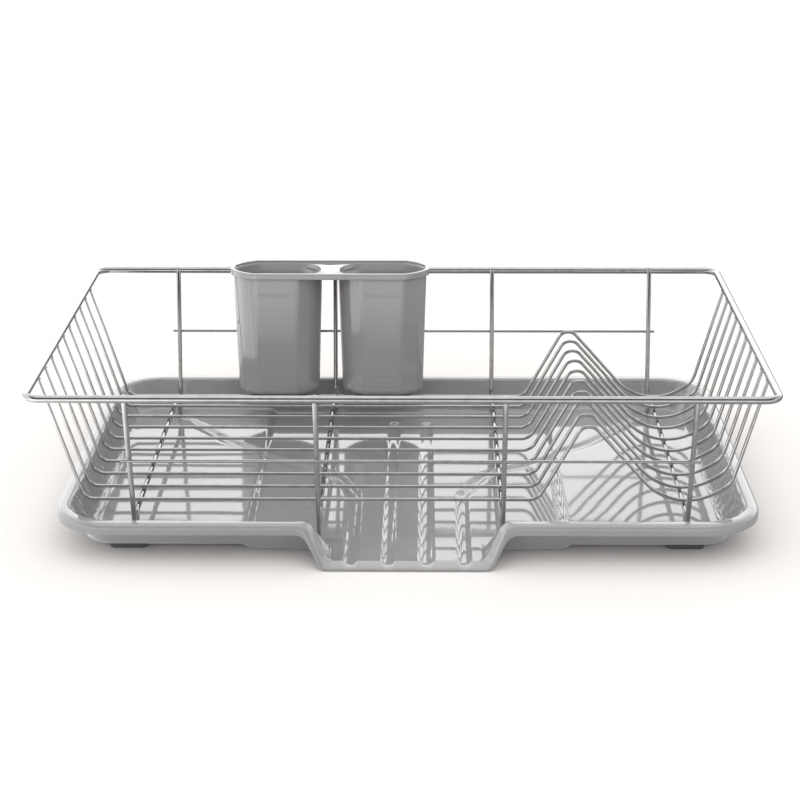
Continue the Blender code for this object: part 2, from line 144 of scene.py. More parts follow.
# ---------------------------------------------------------------- holder
HOLDER_TILT = radians(5.0)
HOLDER_HALF = 75.5 * MM
HOLDER_DEPTH = 47.5 * MM
HOLDER_FRONT_Y = RACK_Y + 100 * MM
HOLDER_CORNER = 18 * MM
BAND_HEIGHT = 4.5 * MM
CUP_TOP = (33.6 * MM, 21.15 * MM)   # half of a cup's outside size under the band, and at its bottom
CUP_BOTTOM = (30.8 * MM, 18.75 * MM)
CUP_SHIFT = -0.75 * MM
CUP_DEPTH = 95.5 * MM
CUP_SPACING = 39.9 * MM             # middle of a cup from the middle of the holder
CUP_WALL = 1.8 * MM
CUP_CORNER = 17 * MM
UNDER_PLATE = 4.0 * MM
HOOK_HALF = 58 * MM
HOOK_TOP = 8.8 * MM
HOOK_DROP = -3.5 * MM


# ---------------------------------------------------------------- helpers
def bend(before, corner, after, radius):
    """Points of the arc that rounds a route's corner, in space."""
    back = (before - corner).normalized()
    ahead = (after - corner).normalized()
    angle = back.angle(ahead)
    reach = radius / tan(angle / 2)
    centre = corner + (back + ahead).normalized() * (radius / sin(angle / 2))
    start = corner + back * reach - centre
    end = corner + ahead * reach - centre
    sweep = pi - angle
    count = max(3, ceil(sweep / BEND_STEP))
    points = []
    for i in range(count + 1):
        share = i / count
        near = sin((1 - share) * sweep) / sin(sweep)
        far = sin(share * sweep) / sin(sweep)
        points.append(centre + start * near + end * far)
    return points


def route(corners, closed=False):
    """Points of a bent wire. Each corner is (x, y, z, bend radius)."""
    places = [Vector(corner[:3]) for corner in corners]
    points = []
    for i, corner in enumerate(corners):
        if closed or 0 < i < len(corners) - 1:
            after = places[(i + 1) % len(places)]
            points += bend(places[i - 1], places[i], after, corner[3])
        else:
            points.append(places[i])
    return points


def mesh_object(name, mesh, look):
    data = bpy.data.meshes.new(name)
    mesh.to_mesh(data)
    mesh.free()
    data.materials.append(look)
    made = bpy.data.objects.new(name, data)
    bpy.context.scene.collection.objects.link(made)
    data.shade_smooth()
    return made


def strip(mesh, first, second, closed=True):
    """Quads between two rows of vertices of the same length."""
    count = len(first)
    for i in range(count if closed else count - 1):
        j = (i + 1) % count
        mesh.faces.new((first[i], second[i], second[j], first[j]))


def tube(mesh, points, radius, across, closed=False):
    """Adds a round wire that bends only in the plane square to `across`."""
    rows = list(zip(points, [radius] * len(points)))
    if not closed:
        first, last = points[0], points[-1]
        lead = (points[1] - first).normalized() * radius * TIP_ROUNDING
        tail = (points[-2] - last).normalized() * radius * TIP_ROUNDING
        edge = 1 - TIP_ROUNDING
        rows[0] = (first + lead, radius)
        rows[-1] = (last + tail, radius)
        rows = ([(first, radius * edge), (first + lead * 0.3, radius * (1 - TIP_ROUNDING * 0.3))] + rows
                + [(last + tail * 0.3, radius * (1 - TIP_ROUNDING * 0.3)), (last, radius * edge)])
    count = len(rows)
    rings = []
    for i, (point, size) in enumerate(rows):
        before = rows[i - 1][0] if closed or i else point
        after = rows[(i + 1) % count][0] if closed or i < count - 1 else point
        side = (after - before).normalized().cross(across)
        ring = []
        for k in range(WIRE_SIDES):
            turn = 2 * pi * k / WIRE_SIDES
            ring.append(mesh.verts.new(point + (across * cos(turn) + side * sin(turn)) * size))
        rings.append(ring)
    for first, second in zip(rings, rings[1:]):
        strip(mesh, first, second)
    if closed:
        strip(mesh, rings[-1], rings[0])
    else:
        mesh.faces.new(rings[0])
        mesh.faces.new(rings[-1][::-1])


def wire(name, node, points, radius, across, look, closed=False):
    mesh = bmesh.new()
    tube(mesh, points, radius, Vector(across), closed)
    bmesh.ops.recalc_face_normals(mesh, faces=mesh.faces)
    made = mesh_object(name, mesh, look)
    made.data.set_sharp_from_angle(angle=SHARP_EDGE)
    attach(made, "basket")
    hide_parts(node)
    return made


# ---------------------------------------------------------------- materials
def new_material(name):
    made = bpy.data.materials.new(name)
    made.use_nodes = True
    tree = made.node_tree
    return made, tree, tree.nodes["Principled BSDF"]


def noise_node(tree, scale, detail=4.0, stretch=(1, 1, 1)):
    """A noise texture fixed to the object."""
    place = tree.nodes.new("ShaderNodeTexCoord")
    mapping = tree.nodes.new("ShaderNodeMapping")
    mapping.inputs["Scale"].default_value = stretch
    texture = tree.nodes.new("ShaderNodeTexNoise")
    texture.inputs["Scale"].default_value = scale
    texture.inputs["Detail"].default_value = detail
    tree.links.new(place.outputs["Object"], mapping.inputs["Vector"])
    tree.links.new(mapping.outputs["Vector"], texture.inputs["Vector"])
    return texture.outputs["Fac"]


def ramp(tree, source, stops):
    """A colour ramp; each stop is (place, colour)."""
    made = tree.nodes.new("ShaderNodeValToRGB")
    for i, (place, colour) in enumerate(stops):
        spot = made.color_ramp.elements[i] if i < 2 else made.color_ramp.elements.new(place)
        spot.position = place
        spot.color = (*colour, 1.0)
    tree.links.new(source, made.inputs["Fac"])
    return made.outputs["Color"]


def map_range(tree, source, start, end, low=0.0, high=1.0, kind="LINEAR"):
    """Maps start to end of a value onto low to high."""
    made = tree.nodes.new("ShaderNodeMapRange")
    made.interpolation_type = kind
    limits = {"From Min": start, "From Max": end, "To Min": low, "To Max": high}
    for name, limit in limits.items():
        made.inputs[name].default_value = limit
    tree.links.new(source, made.inputs["Value"])
    return made.outputs["Result"]


def spread(tree, source, low, high):
    """Maps 0.3 to 0.7 of a noise onto the range low to high."""
    return map_range(tree, source, 0.3, 0.7, low, high)


def bump(tree, source, strength, distance, below=None):
    made = tree.nodes.new("ShaderNodeBump")
    made.inputs["Strength"].default_value = strength
    made.inputs["Distance"].default_value = distance
    tree.links.new(source, made.inputs["Height"])
    if below:
        tree.links.new(below, made.inputs["Normal"])
    return made.outputs["Normal"]


def steel_look(name, colour, roughness, grain):
    """Drawn and polished steel wire: fine drawing marks, and patches with less polish."""
    made, tree, shader = new_material(name)
    shader.inputs["Metallic"].default_value = 1.0
    patches = noise_node(tree, 160, 5)
    dull = tuple(part * 0.86 for part in colour)
    tree.links.new(ramp(tree, patches, ((0.32, dull), (0.62, colour))), shader.inputs["Base Color"])
    marks = noise_node(tree, 900, 3)
    tree.links.new(spread(tree, marks, roughness * 0.7, roughness * 1.5), shader.inputs["Roughness"])
    tree.links.new(bump(tree, patches, grain, 0.15 * MM), shader.inputs["Normal"])
    return made


def plastic_look(name, colour, roughness, coat):
    """Glossy moulded plastic: faint flow marks in the colour, orange peel and light handling haze."""
    made, tree, shader = new_material(name)
    flow = noise_node(tree, 14, 6, (1, 1, 0.5))
    dark = tuple(part * 0.95 for part in colour)
    light = tuple(part * 1.04 for part in colour)
    tree.links.new(ramp(tree, flow, ((0.3, dark), (0.7, light))), shader.inputs["Base Color"])
    haze = noise_node(tree, 60, 5)
    tree.links.new(spread(tree, haze, roughness * 0.75, roughness * 1.35), shader.inputs["Roughness"])
    peel = bump(tree, noise_node(tree, 420, 2), 0.06, 0.05 * MM)
    sink = bump(tree, noise_node(tree, 45, 1), 0.10, 0.25 * MM, below=peel)
    tree.links.new(sink, shader.inputs["Normal"])
    shader.inputs["Coat Weight"].default_value = coat
    shader.inputs["Coat Roughness"].default_value = 0.04
    shader.inputs["IOR"].default_value = 1.52
    return made


def rubber_look():
    made, tree, shader = new_material("soft_rubber")
    specks = noise_node(tree, 500, 4)
    tree.links.new(ramp(tree, specks, ((0.35, (0.060, 0.060, 0.062)), (0.65, (0.085, 0.085, 0.088)))),
                   shader.inputs["Base Color"])
    tree.links.new(spread(tree, specks, 0.6, 0.85), shader.inputs["Roughness"])
    tree.links.new(bump(tree, specks, 0.4, 0.1 * MM), shader.inputs["Normal"])
    return made


# ---------------------------------------------------------------- basket
def rim_route():
    corners = [
        (sx * RIM_HALF_X, RACK_Y + sy * RIM_HALF_Y, RIM_Z, RIM_CORNER)
        for sx, sy in ((-1, -1), (1, -1), (1, 1), (-1, 1))
    ]
    return route(corners, closed=True)


def plate_wire_route(y):
    """End wall, flat stretch, hump, valley and end wall. The tips sink into the rim's wire."""
    left_rim = Vector((-RIM_HALF_X, y, RIM_Z))
    right_rim = Vector((RIM_HALF_X, y, RIM_Z))
    left_foot = Vector((-WALL_FOOT_X, y, PLATE_Z))
    rise = Vector((VALLEY_RISE[0], y, PLATE_Z + VALLEY_RISE[1]))
    reach = RIM_WIRE - TIP_SINK
    return route([
        (*(left_rim + (left_foot - left_rim).normalized() * reach), 0),
        (*left_foot, WALL_BEND),
        (HUMP_START_X, y, PLATE_Z, HUMP_START_BEND),
        (HUMP_PEAK[0], y, PLATE_Z + HUMP_PEAK[1], HUMP_PEAK_BEND),
        (VALLEY_START_X, y, PLATE_Z, VALLEY_BEND),
        (VALLEY_END_X, y, PLATE_Z, VALLEY_BEND),
        (*rise, VALLEY_RISE_BEND),
        (*(right_rim + (rise - right_rim).normalized() * reach), 0),
    ])


def cross_wire_route(x):
    """Down the front wall to a narrow foot, under the plate wires, and up the rear wall."""
    tip = RIM_HALF_Y - RIM_WIRE - CROSS_WIRE
    half = [
        (tip, RIM_Z + CROSS_TIP_RISE, 0),
        (CROSS_FOOT_OUTER, CROSS_FOOT_Z, FOOT_BEND),
        (CROSS_FOOT_INNER, CROSS_FOOT_Z, FOOT_BEND),
        (CROSS_FOOT_INNER, CROSS_RUN_Z, CROSS_RUN_BEND),
    ]
    front = [(x, RACK_Y - out, z, radius) for out, z, radius in half]
    back = [(x, RACK_Y + out, z, radius) for out, z, radius in reversed(half)]
    return route(front + back)


def make_basket(rim_steel, wire_steel):
    wire("rim_round", "rim_wire", rim_route(), RIM_WIRE, (0, 0, 1), rim_steel, closed=True)
    for i, node in enumerate(PLATE_NODES, 1):
        points = plate_wire_route(centre_of(node).y)
        wire(f"plate_round_{i:02d}", node, points, PLATE_WIRE, (0, 1, 0), wire_steel)
    for i, node in enumerate(CROSS_NODES, 1):
        points = cross_wire_route(centre_of(node).x)
        wire(f"cross_round_{i}", node, points, CROSS_WIRE, (1, 0, 0), wire_steel)
    for name, node in zip(("front_rail_round", "rear_rail_round"), RAIL_NODES):
        low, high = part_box(node)
        middle = (low + high) / 2
        ends = [Vector((x, middle.y, middle.z)) for x in (low.x, high.x)]
        wire(name, node, ends, RAIL_WIRE, (0, 1, 0), wire_steel)


def bead(mesh, place, size, turn, seed):
    """One spot weld: a squashed, slightly uneven drop of metal."""
    grid = []
    for i in range(1, BEAD_ROWS):
        tilt = pi * i / BEAD_ROWS
        ring = []
        for k in range(BEAD_SIDES):
            around = 2 * pi * k / BEAD_SIDES
            way = Vector((sin(tilt) * cos(around), sin(tilt) * sin(around), cos(tilt)))
            swell = 1 + BEAD_SWELL * noise.noise(way * 1.7 + Vector((seed, 0, 0)))
            spot = Vector(part * scale for part, scale in zip(way, size)) * swell
            ring.append(mesh.verts.new(place + turn @ spot))
        grid.append(ring)
    for first, second in zip(grid, grid[1:]):
        strip(mesh, first, second)
    for ring, z in ((grid[0], 1), (grid[-1], -1)):
        pole = mesh.verts.new(place + turn @ Vector((0, 0, z * size[2])))
        for i in range(BEAD_SIDES):
            corners = (pole, ring[i], ring[(i + 1) % BEAD_SIDES])
            mesh.faces.new(corners if z > 0 else corners[::-1])


def make_beads(name, spots, look):
    """Spots are (place, size, rotation)."""
    mesh = bmesh.new()
    for i, (place, size, turn) in enumerate(spots):
        bead(mesh, place, size, turn, i * 3.7 + len(name))
    bmesh.ops.recalc_face_normals(mesh, faces=mesh.faces)
    made = mesh_object(name, mesh, look)
    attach(made, "basket")


def make_welds(look):
    none = Matrix.Identity(3)
    plate_ys = [centre_of(node).y for node in PLATE_NODES]
    cross_xs = [centre_of(node).x for node in CROSS_NODES]
    joint_z = PLATE_Z - PLATE_WIRE - 0.1 * MM
    crossings = []
    for y in plate_ys:
        for x in cross_xs:
            crossings.append((Vector((x, y, joint_z)), CROSSING_BEAD, none))
    make_beads("welds_under_plates", crossings, look)

    tips = []
    for y in plate_ys:
        route_points = plate_wire_route(y)
        for end, inner in ((route_points[0], route_points[1]), (route_points[-1], route_points[-2])):
            way = (end - inner).normalized()
            turn = way.to_track_quat("Z", "Y").to_matrix()
            tips.append((end - way * 0.6 * MM, PLATE_TIP_BEAD, turn))
    make_beads("welds_plate_tips", tips, look)

    tops = []
    for x in cross_xs:
        for side in (-1, 1):
            y = RACK_Y + side * (RIM_HALF_Y - RIM_WIRE * 0.9)
            tops.append((Vector((x, y, RIM_Z + 0.4 * MM)), CROSS_TIP_BEAD, none))
    make_beads("welds_cross_tips", tops, look)

    rails = []
    for node in RAIL_NODES:
        middle = centre_of(node)
        inward = 1 if middle.y < RACK_Y else -1
        for x in cross_xs:
            place = Vector((x, middle.y + inward * 0.9 * MM, middle.z))
            rails.append((place, RAIL_BEAD, none))
    make_beads("welds_side_rails", rails, look)


# ---------------------------------------------------------------- drip tray
COLUMN_PITCH = 1.9 * MM             # spacing of the floor's mesh, and across the spout
SPOUT_PITCH = 1.15 * MM
CORNER_CUTS = 9                     # mesh steps of half a corner
STRAIGHT_X = TRAY_HALF_X - TRAY_CORNER
STRAIGHT_Y = TRAY_HALF_Y - TRAY_CORNER
SECTION_STEPS = 6                   # mesh steps round each bend of the section
TRAY_RIM = 27 * MM
WALL_ROWS = 8
WALL_BOW = 0.9 * MM                 # the inner walls are hollow by this much
WALL_WAVES = ((60, 0.35 * MM), (210, 0.42 * MM))    # waves of the inner walls: per metre, height
INNER_WALL = (10, 21)               # insets, in millimetres, between which a line lies on them
BULGE_FADE = 60                     # mesh columns over which the corners' curve fades out
FLOOR_WAVE = 0.05 * MM              # height of the floor's sink marks

# The tray's section, from the floor over the rim and back under the floor. Each corner is:
# inset from the outline, height, share of the floor's step that it follows, half the spout's width
# at the top, half its width at the lip, distance behind the lip's front, height at the lip,
# depth of the grooves (as a share), and how far its rounding reaches.
TRAY_SECTION = (
    (25.5, 6.7, 1.0, 47.6, 47.2, 15.2, 3.3, 1.0, 0.0),
    (21.9, 6.7, 1.0, 50.9, 49.8, 12.2, 3.3, 1.0, 2.6),
    (9.3, 27.0, 0.0, 63.2, 50.6, 9.6, 3.3, 1.0, 2.6),
    (0.0, 27.0, 0.0, 67.2, 54.6, 0.6, 2.4, 0.4, 4.2),
    (0.0, 19.5, 0.0, 67.6, 55.3, 0.0, 0.6, 0.0, 0.9),
    (2.1, 19.5, 0.0, 65.4, 53.2, 2.2, 0.6, 0.0, 0.8),
    (2.3, 24.8, 0.0, 65.0, 52.9, 3.4, 0.7, 0.0, 1.0),
    (7.6, 24.8, 0.0, 64.4, 52.7, 9.2, 1.0, 0.0, 1.2),
    (20.2, 4.5, 1.0, 53.6, 52.4, 12.8, 1.1, 0.0, 2.4),
    (25.5, 4.5, 1.0, 50.0, 50.2, 15.2, 1.1, 0.0, 0.0),
)


def soften(corners, steps):
    """Rounds a section's corners with short curves. The last number of a corner is their reach."""
    places = [np.array(corner[:-1], float) for corner in corners]
    points = [places[0]]
    for i in range(1, len(corners) - 1):
        corner = places[i]
        reach = corners[i][-1]
        ends = []
        for other in (places[i - 1], places[i + 1]):
            length = np.hypot(*(other - corner)[:2])
            ends.append(corner + (other - corner) * min(0.5, reach / length))
        for k in range(steps + 1):
            share = k / steps
            near = (1 - share) ** 2 * ends[0] + share ** 2 * ends[1]
            points.append(near + 2 * share * (1 - share) * corner)
    points.append(places[-1])
    return points


def resample(points, count):
    """The same line in `count` equal steps."""
    points = np.array(points, float)
    along = np.concatenate(([0], np.cumsum(np.linalg.norm(np.diff(points, axis=0), axis=1))))
    wanted = np.linspace(0, along[-1], count + 1)
    return np.stack([np.interp(wanted, along, points[:, k]) for k in range(points.shape[1])], axis=1)


def floor_step(x):
    """Height of the floor over the middle section's."""
    share = np.clip((np.abs(x - TRAY_X) - CENTRE_HALF) / CENTRE_SLOPE, 0, 1)
    return (SIDE_FLOOR - CENTRE_FLOOR) * share * share * (3 - 2 * share)


def groove_lines():
    """Centre lines of the four drain grooves, as (x, y) points close together."""
    lines = []
    for slot in (-0.5, 0.5):
        x = GROOVE_X + slot * GROOVE_PITCH
        lines.append([(x, GROOVE_START_Y), (x, GROOVE_BACK_Y)])
    for side in (-1, 1):
        x = GROOVE_X + side * 1.5 * GROOVE_PITCH
        knots = [(x, GROOVE_START_Y)] + [(x + side * out, RACK_Y + y) for out, y in GROOVE_SWEEP]
        lines.append(smooth_line(knots))
    return lines


def smooth_line(knots, steps=8):
    """A Catmull-Rom curve through the knots."""
    knots = [Vector(knot) for knot in knots]
    padded = [knots[0]] + knots + [knots[-1]]
    points = []
    for a, b, c, d in zip(padded, padded[1:], padded[2:], padded[3:]):
        for i in range(steps):
            t = i / steps
            points.append(0.5 * (2 * b + (c - a) * t + (2 * a - 5 * b + 4 * c - d) * t ** 2
                                 + (3 * b - a - 3 * c + d) * t ** 3))
    points.append(knots[-1])
    return points


GROOVES = groove_lines()


def groove_depth(x, y):
    """Depth of the grooves under the floor: round-bottomed channels with soft edges."""
    nearest = np.full(np.shape(x), 1.0)
    for line in GROOVES:
        for (ax, ay), (bx, by) in zip(line, line[1:]):
            run_x, run_y = bx - ax, by - ay
            share = ((x - ax) * run_x + (y - ay) * run_y) / (run_x ** 2 + run_y ** 2)
            share = np.clip(share, 0, 1)
            nearest = np.minimum(nearest, np.hypot(x - ax - share * run_x, y - ay - share * run_y))
    inside = np.minimum(nearest, GROOVE_RADIUS)
    arc = np.sqrt(GROOVE_RADIUS ** 2 - inside ** 2) - (GROOVE_RADIUS - GROOVE_DEPTH)
    return (arc + np.sqrt(arc ** 2 + GROOVE_SOFTNESS ** 2)) / 2 * (nearest < GROOVE_RADIUS)


def ripple(x, y):
    """Faint sink marks of the moulding, which make the floor's reflections waver."""
    return FLOOR_WAVE * np.array([noise.noise(Vector((a * 38, b * 38, 0.5))) for a, b in zip(x, y)])


def warp_wall(verts, bow):
    """Moves a line round the inner walls outwards by bow, and adds the waves of a thin moulding."""
    for vert in verts:
        x, y = vert.co.x - TRAY_X, vert.co.y - TRAY_Y
        if y < -STRAIGHT_Y and abs(x) < CENTRE_HALF:
            continue
        nearest = Vector((min(STRAIGHT_X, max(-STRAIGHT_X, x)), min(STRAIGHT_Y, max(-STRAIGHT_Y, y))))
        outward = (Vector((x, y)) - nearest).normalized()
        wave = bow
        for pitch, height in WALL_WAVES:
            wave += height * noise.noise(Vector((x * pitch, y * pitch, vert.co.z * 20)))
        vert.co.x += outward.x * wave
        vert.co.y += outward.y * wave


def column_counts():
    """Mesh steps along the front edge: to the floor's step, over it, to the spout, half the spout."""
    spout = TRAY_SECTION[0][3] * MM
    spans = ((STRAIGHT_X - CENTRE_HALF - CENTRE_SLOPE, COLUMN_PITCH), (CENTRE_SLOPE, SPOUT_PITCH),
             (CENTRE_HALF - spout, COLUMN_PITCH), (spout, SPOUT_PITCH))
    return [round(span / pitch) for span, pitch in spans]


OUTER, SLOPE, INNER, SPOUT = column_counts()
ROWS = round(2 * STRAIGHT_Y / COLUMN_PITCH)
SPOUT_ROWS = 12
SPOUT_BEND = 6 * MM


def tray_arc(sx, sy, radius, first, last):
    """Part of a corner, between two angles in eighths of a turn."""
    centre = (TRAY_X + sx * STRAIGHT_X, TRAY_Y + sy * STRAIGHT_Y)
    turns = np.linspace(first, last, CORNER_CUTS + 1) * pi / 4
    return [(centre[0] + radius * cos(turn), centre[1] + radius * sin(turn)) for turn in turns]


def tray_ring(row):
    """One closed line round the tray as an array of points, by sides: front, right, back, left."""
    inset, z, follow, spout, lip_half, lip_out, lip_z, groove = row
    inset, z, spout, lip_half, lip_out, lip_z = (
        part * MM for part in (inset, z, spout, lip_half, lip_out, lip_z))
    radius = TRAY_CORNER - inset
    front, back = TRAY_Y - TRAY_HALF_Y + inset, TRAY_Y + TRAY_HALF_Y - inset
    left, right = TRAY_X - TRAY_HALF_X + inset, TRAY_X + TRAY_HALF_X - inset
    base = z - follow * (SIDE_FLOOR - CENTRE_FLOOR)
    lip_y = LIP_FRONT_Y + lip_out

    def half_front(side):
        """From the corner to the middle of the lip."""
        step_outer, step_inner = CENTRE_HALF + CENTRE_SLOPE, CENTRE_HALF
        stops = [(STRAIGHT_X, step_outer, OUTER), (step_outer, step_inner, SLOPE)]
        line = []
        for start, end, count in stops:
            line += [(TRAY_X + side * x, front, base) for x in np.linspace(start, end, count + 1)[:-1]]
        knee = np.array((TRAY_X + side * spout, front, base))
        toe = np.array((TRAY_X + side * lip_half, lip_y, lip_z))
        start = np.array((TRAY_X + side * step_inner, front, base))
        middle = np.array((TRAY_X, lip_y, lip_z))
        upper = curve(start, knee, toe, SPOUT_BEND)
        lower = curve(knee, toe, middle, SPOUT_BEND * 0.6)
        cut = len(upper) // 2
        line += list(resample([start] + upper[:cut + 1], INNER)[:-1])
        line += list(resample(upper[cut:] + lower[:cut + 1], SPOUT_ROWS)[:-1])
        line += list(resample(lower[cut:] + [middle], SPOUT))
        return [tuple(point) for point in line]

    def curve(start, corner, end, reach):
        first = corner + (start - corner) / np.linalg.norm(start - corner) * reach
        last = corner + (end - corner) / np.linalg.norm(end - corner) * reach
        shares = np.linspace(0, 1, 9)
        return [(1 - t) ** 2 * first + 2 * t * (1 - t) * corner + t ** 2 * last for t in shares]

    def flat(points):
        return [(x, y, base) for x, y in points]

    front_side = flat(tray_arc(-1, -1, radius, 5, 6)[:-1]) + half_front(-1)
    front_side += half_front(1)[::-1][1:] + flat(tray_arc(1, -1, radius, 6, 7)[1:])
    ys = np.linspace(TRAY_Y - STRAIGHT_Y, TRAY_Y + STRAIGHT_Y, ROWS + 1)
    right_side = tray_arc(1, -1, radius, 7, 8)[:-1] + [(right, y) for y in ys]
    right_side += tray_arc(1, 1, radius, 0, 1)[1:]
    mouth = TRAY_SECTION[0][3] * MM
    stops = [STRAIGHT_X, CENTRE_HALF + CENTRE_SLOPE, CENTRE_HALF, mouth, 0]
    half = []
    for start, end, count in zip(stops, stops[1:], (OUTER, SLOPE, INNER, SPOUT)):
        half += list(np.linspace(start, end, count + 1)[:-1])
    xs = half + [0] + [-x for x in reversed(half)]
    back_side = tray_arc(1, 1, radius, 1, 2)[:-1] + [(TRAY_X + x, back) for x in xs]
    back_side += tray_arc(-1, 1, radius, 2, 3)[1:]
    left_side = tray_arc(-1, 1, radius, 3, 4)[:-1] + [(left, y) for y in ys[::-1]]
    left_side += tray_arc(-1, -1, radius, 4, 5)[1:]
    sides = [front_side] + [flat(side) for side in (right_side, back_side, left_side)]
    sides = [np.array(side) for side in sides]
    for side in sides:
        side[:, 2] += follow * floor_step(side[:, 0]) - groove * groove_depth(side[:, 0], side[:, 1])
    return sides


def floor_point_height(points):
    x, y = points[:, 0], points[:, 1]
    points[:, 2] = CENTRE_FLOOR + floor_step(x) - groove_depth(x, y)


def make_tray(look):
    mesh = bmesh.new()
    rows = soften(TRAY_SECTION, SECTION_STEPS)
    rows = split_stretch(rows, SECTION_STEPS + 1, WALL_ROWS)
    rings = []
    for row in rows:
        sides = tray_ring(row)
        ring = []
        for side in sides:
            ring += [mesh.verts.new(point) for point in side[:-1]]
        rings.append(ring)
    for row, ring in zip(rows, rings):
        on_wall = INNER_WALL[0] < row[0] < INNER_WALL[1]
        if on_wall and row[1] > SIDE_FLOOR / MM and row[-1]:
            share = (row[1] * MM - SIDE_FLOOR) / (TRAY_RIM - SIDE_FLOOR)
            warp_wall(ring, 4 * WALL_BOW * share * (1 - share))
    for inner, outer in zip(rings, rings[1:]):
        strip(mesh, inner, outer)
    counts = [len(side) - 1 for side in tray_ring(rows[0])]
    starts = np.concatenate(([0], np.cumsum(counts)))
    ring = rings[0]
    front_verts = [ring[i] for i in range(starts[0], starts[1] + 1)]
    right_verts = [ring[i] for i in range(starts[1], starts[2] + 1)]
    back_verts = [ring[i] for i in range(starts[2], starts[3] + 1)][::-1]
    left_verts = [ring[i % len(ring)] for i in range(starts[3], starts[4] + 1)][::-1]

    knee = CORNER_CUTS + OUTER + SLOPE + INNER
    lip_first = knee + SPOUT_ROWS
    lip_last = lip_first + 2 * SPOUT
    other_knee = lip_last + SPOUT_ROWS
    mouth_left, mouth_right = front_verts[knee], front_verts[other_knee]
    mouth = [mouth_left]
    for i in range(1, 2 * SPOUT):
        mouth.append(mesh.verts.new(mouth_left.co.lerp(mouth_right.co, i / (2 * SPOUT))))
    mouth.append(mouth_right)
    bottom = front_verts[:knee] + mouth + front_verts[other_knee + 1:]
    coons(mesh, bottom, back_verts, left_verts, right_verts, BULGE_FADE)
    lip = front_verts[lip_first:lip_last + 1]
    side_left = front_verts[knee:lip_first + 1][::-1]
    side_right = front_verts[lip_last:other_knee + 1]
    coons(mesh, lip, mouth, side_left, side_right, SPOUT)

    mesh.verts.index_update()
    floor = [vert for vert in mesh.verts if vert.index >= len(rings) * len(ring)]
    places = np.array([vert.co[:] for vert in floor])
    floor_point_height(places)
    shake = ripple(places[:, 0], places[:, 1])
    for vert, place, lift in zip(floor, places, shake):
        vert.co.z = place[2] + lift
    cover_underside(mesh, rings[-1], front_verts, starts)
    made = mesh_object("drip_tray_shell", mesh, look)
    made.data.set_sharp_from_angle(angle=radians(45))
    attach(made, "tray")
    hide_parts("drip_tray")


def coons(mesh, bottom, top, left, right, fade):
    """Fills a four-sided area with a grid. The sides' bulge fades out over `fade` columns."""
    columns, rows = len(bottom) - 1, len(left) - 1
    low, high = left[0].co, left[-1].co
    shares = [(vert.co.y - low.y) / (high.y - low.y) for vert in left]
    grid = [bottom]
    for j in range(1, rows):
        share = shares[j]
        bulge_left = left[j].co - left[0].co.lerp(left[-1].co, share)
        bulge_right = right[j].co - right[0].co.lerp(right[-1].co, share)
        row = [left[j]]
        for i in range(1, columns):
            place = bottom[i].co.lerp(top[i].co, share)
            near = max(0.0, 1 - i / fade)
            far = max(0.0, 1 - (columns - i) / fade)
            place = place + bulge_left * near + bulge_right * far
            row.append(mesh.verts.new(place))
        row.append(right[j])
        grid.append(row)
    grid.append(top)
    for first, second in zip(grid, grid[1:]):
        for i in range(columns):
            mesh.faces.new((first[i], first[i + 1], second[i + 1], second[i]))


def cover_underside(mesh, ring, front_verts, starts):
    """Closes the underside with flat faces: two side sections, two slopes and the middle."""
    edge = CORNER_CUTS + OUTER
    count = len(ring)
    step_left, inner_left = edge, edge + SLOPE
    inner_right = starts[1] - edge - SLOPE
    step_right = starts[1] - edge
    back_right = starts[2] + edge
    back_inner_right = back_right + SLOPE
    back_inner_left = starts[3] - edge - SLOPE
    back_left = starts[3] - edge
    parts = (
        [ring[i % count] for i in range(back_left, count + step_left + 1)],
        ring[step_left:inner_left + 1] + ring[back_inner_left:back_left + 1],
        ring[inner_left:inner_right + 1] + ring[back_inner_right:back_inner_left + 1],
        ring[inner_right:step_right + 1] + ring[back_right:back_inner_right + 1],
        ring[step_right:back_right + 1],
    )
    for part in parts:
        mesh.faces.new(part[::-1])


def pad_ring(middle, half, z):
    """A rectangle with rounded corners at height z."""
    radius = PAD_CORNER
    points = []
    for sx, sy, start in ((1, 1, 0.0), (-1, 1, 0.5), (-1, -1, 1.0), (1, -1, 1.5)):
        for k in range(PAD_CUTS + 1):
            turn = (start + 0.5 * k / PAD_CUTS) * pi
            points.append(Vector((middle.x + sx * (half[0] - radius) + radius * cos(turn),
                                  middle.y + sy * (half[1] - radius) + radius * sin(turn), z)))
    return points


def make_pads(look):
    """Rubber pads with rounded edges and a shallow hollow in the sole."""
    for node in FOOT_NODES:
        low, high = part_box(node)
        middle = (low + high) / 2
        height = high.z - low.z
        section = soften((
            (3.2, 0.4, 0), (2.4, 0.0, 0.5), (PAD_TAPER, 0.0, 0.5), (0.0, height / MM, 0.4),
            (3.0, height / MM, 0),
        ), 4)
        mesh = bmesh.new()
        rings = []
        for inset, z in section:
            half = [(high[i] - low[i]) / 2 - inset * MM for i in range(2)]
            rings.append([mesh.verts.new(point) for point in pad_ring(middle, half, low.z + z * MM)])
        for first, second in zip(rings, rings[1:]):
            strip(mesh, first, second)
        mesh.faces.new(rings[0])
        mesh.faces.new(rings[-1][::-1])
        bmesh.ops.recalc_face_normals(mesh, faces=mesh.faces)
        made = mesh_object(node.replace("rubber_foot", "rubber_pad"), mesh, look)
        made.data.set_sharp_from_angle(angle=SHARP_EDGE)
        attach(made, "tray")
        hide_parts(node)


